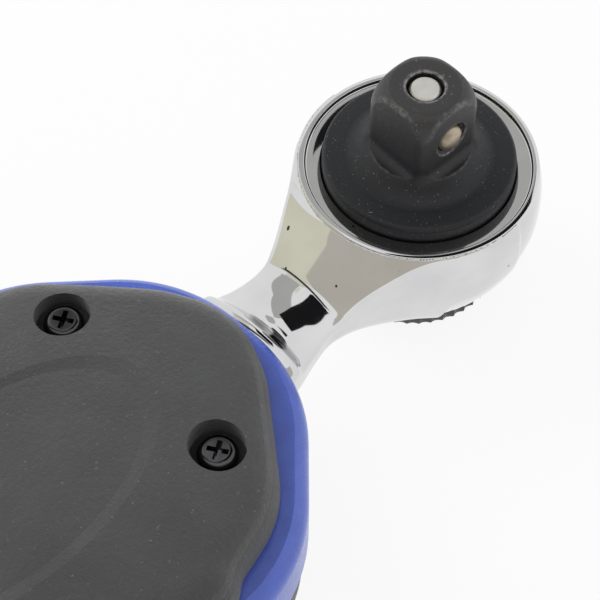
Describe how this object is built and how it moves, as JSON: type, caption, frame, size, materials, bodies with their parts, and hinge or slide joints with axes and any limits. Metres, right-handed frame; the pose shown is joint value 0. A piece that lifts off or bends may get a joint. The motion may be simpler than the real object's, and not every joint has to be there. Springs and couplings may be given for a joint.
{
  "type": "digital torque wrench",
  "caption": "Digital torque wrench with a chrome ratchet head, a square drive with push release, and a moulded black and blue display housing on a rubber-gripped tubular handle.",
  "frame": {"origin": "on the drive axis, at the flange face that a socket seats against", "axes": "+Z along the square drive, out of the head; +X away from the handle, so the handle runs along -X; the display faces -Z"},
  "size_m": [0.4443, 0.07, 0.0469],
  "materials": {
    "chrome": "polished chrome, satin step round the bore",
    "black_steel": "black oxide, worn bright on the square's edges",
    "dial_steel": "black oxide, scalloped edge",
    "bright_steel": "ground steel",
    "spring_steel": "drawn spring wire",
    "tool_steel": "machined steel",
    "screw_steel": "black zinc",
    "black_plastic": "fine spark-eroded texture",
    "soft_black": "moulded seal",
    "blue_plastic": "satin blue",
    "gloss_black": "gloss black",
    "lens": "clear window",
    "lcd_glass": "grey-green liquid crystal panel, off",
    "white_plastic": "natural white",
    "board_green": "solder mask",
    "silicone": "moulded keypad",
    "led_clear": "clear lamp window",
    "gauge_foil": "polyimide foil",
    "black_tube": "black powder coat",
    "grip_rubber": "textured rubber",
    "brass": "plated contact",
    "cell_wrap": "plain cell sleeve",
    "button_plastic": "soft-touch grey",
    "button_blue": "soft-touch blue"
  },
  "bodies": {
    "wrench_body": {"ratchet_head": "chrome", "retaining_ring": "black_steel", "neck_seal": "soft_black", "back_shell": "black_plastic", "side_band": "blue_plastic", "front_shell": "black_plastic", "housing_screws": "screw_steel", "display_bezel": "gloss_black", "display_lens": "lens", "lcd_panel": "lcd_glass", "backlight": "white_plastic", "circuit_board": "board_green", "buzzer": "gloss_black", "keypad_membrane": "silicone", "keypad_board": "board_green", "led_window": "led_clear", "sensor_beam": "tool_steel", "strain_gauges": "gauge_foil", "beam_pins": "bright_steel", "handle_tube": "black_tube", "tube_collar": "black_plastic", "grip_ring": "blue_plastic", "grip_sleeve": "grip_rubber", "battery_sleeve": "white_plastic", "contact_plate": "brass", "batteries": "cell_wrap"},
    "drive": {"drive_anvil": "black_steel", "pawl_pins": "bright_steel"},
    "selector": {"selector_dial": "dial_steel"},
    "left_pawl": {"pawl_left": "tool_steel"},
    "right_pawl": {"pawl_right": "tool_steel"},
    "release": {"release_pin": "bright_steel", "release_button": "bright_steel", "release_spring": "spring_steel"},
    "ball": {"detent_ball": "bright_steel"},
    "power_key": {"power_button": "button_blue"},
    "unit_key": {"unit_button": "button_plastic"},
    "memory_key": {"memory_button": "button_plastic"},
    "up_key": {"up_button": "button_plastic"},
    "down_key": {"down_button": "button_plastic"},
    "cap_contact": {"contact_disc": "brass", "battery_spring": "spring_steel"},
    "cap": {"battery_cap": "black_plastic"}
  },
  "joints": [
    {"name": "drive_spin", "type": "hinge", "parent": "wrench_body", "child": "drive", "pos_m": [0, 0, 0], "axis": [0, 0, 1], "continuous": true},
    {"name": "selector_turn", "type": "hinge", "parent": "drive", "child": "selector", "pos_m": [0, 0, -0.0256], "axis": [0, 0, 1], "range_deg": [0, 40]},
    {"name": "left_pawl_swing", "type": "hinge", "parent": "drive", "child": "left_pawl", "pos_m": [-0.00151, 0.01231, -0.0117], "axis": [0, 0, 1], "range_deg": [-8, 0]},
    {"name": "right_pawl_swing", "type": "hinge", "parent": "drive", "child": "right_pawl", "pos_m": [-0.00151, -0.01231, -0.0117], "axis": [0, 0, 1], "range_deg": [-8, 0]},
    {"name": "release_press", "type": "slide", "parent": "drive", "child": "release", "axis": [0, 0, 1], "range_m": [0, 0.003], "stiffness_N_per_m": 400, "springref_m": -0.002, "deforming": ["release_spring"]},
    {"name": "ball_retract", "type": "slide", "parent": "drive", "child": "ball", "axis": [0.0698, 0.9976, 0], "range_m": [0, 0.001]},
    {"name": "power_press", "type": "slide", "parent": "wrench_body", "child": "power_key", "axis": [0, 0, 1], "range_m": [0, 0.0006], "stiffness_N_per_m": 800, "springref_m": -0.0004},
    {"name": "unit_press", "type": "slide", "parent": "wrench_body", "child": "unit_key", "axis": [0, 0, 1], "range_m": [0, 0.0006], "stiffness_N_per_m": 800, "springref_m": -0.0004},
    {"name": "memory_press", "type": "slide", "parent": "wrench_body", "child": "memory_key", "axis": [0, 0, 1], "range_m": [0, 0.0006], "stiffness_N_per_m": 800, "springref_m": -0.0004},
    {"name": "up_press", "type": "slide", "parent": "wrench_body", "child": "up_key", "axis": [0, 0, 1], "range_m": [0, 0.0006], "stiffness_N_per_m": 800, "springref_m": -0.0004},
    {"name": "down_press", "type": "slide", "parent": "wrench_body", "child": "down_key", "axis": [0, 0, 1], "range_m": [0, 0.0006], "stiffness_N_per_m": 800, "springref_m": -0.0004},
    {"name": "cap_travel", "type": "slide", "parent": "wrench_body", "child": "cap_contact", "axis": [-1, 0, 0], "range_m": [0, 0.0045]},
    {"name": "cap_turn", "type": "hinge", "parent": "cap_contact", "child": "cap", "pos_m": [-0.418, 0, -0.0129], "axis": [-1, 0, 0], "range_deg": [0, 1080]}
  ],
  "couplings": [
    {"joint": "left_pawl_swing", "follows": "selector_turn", "ratio": -0.2},
    {"joint": "right_pawl_swing", "follows": "selector_turn", "ratio": -0.2},
    {"joint": "ball_retract", "follows": "release_press", "ratio": 0.33333},
    {"joint": "cap_travel", "follows": "cap_turn", "m_per_rad": 0.00023873}
  ]
}
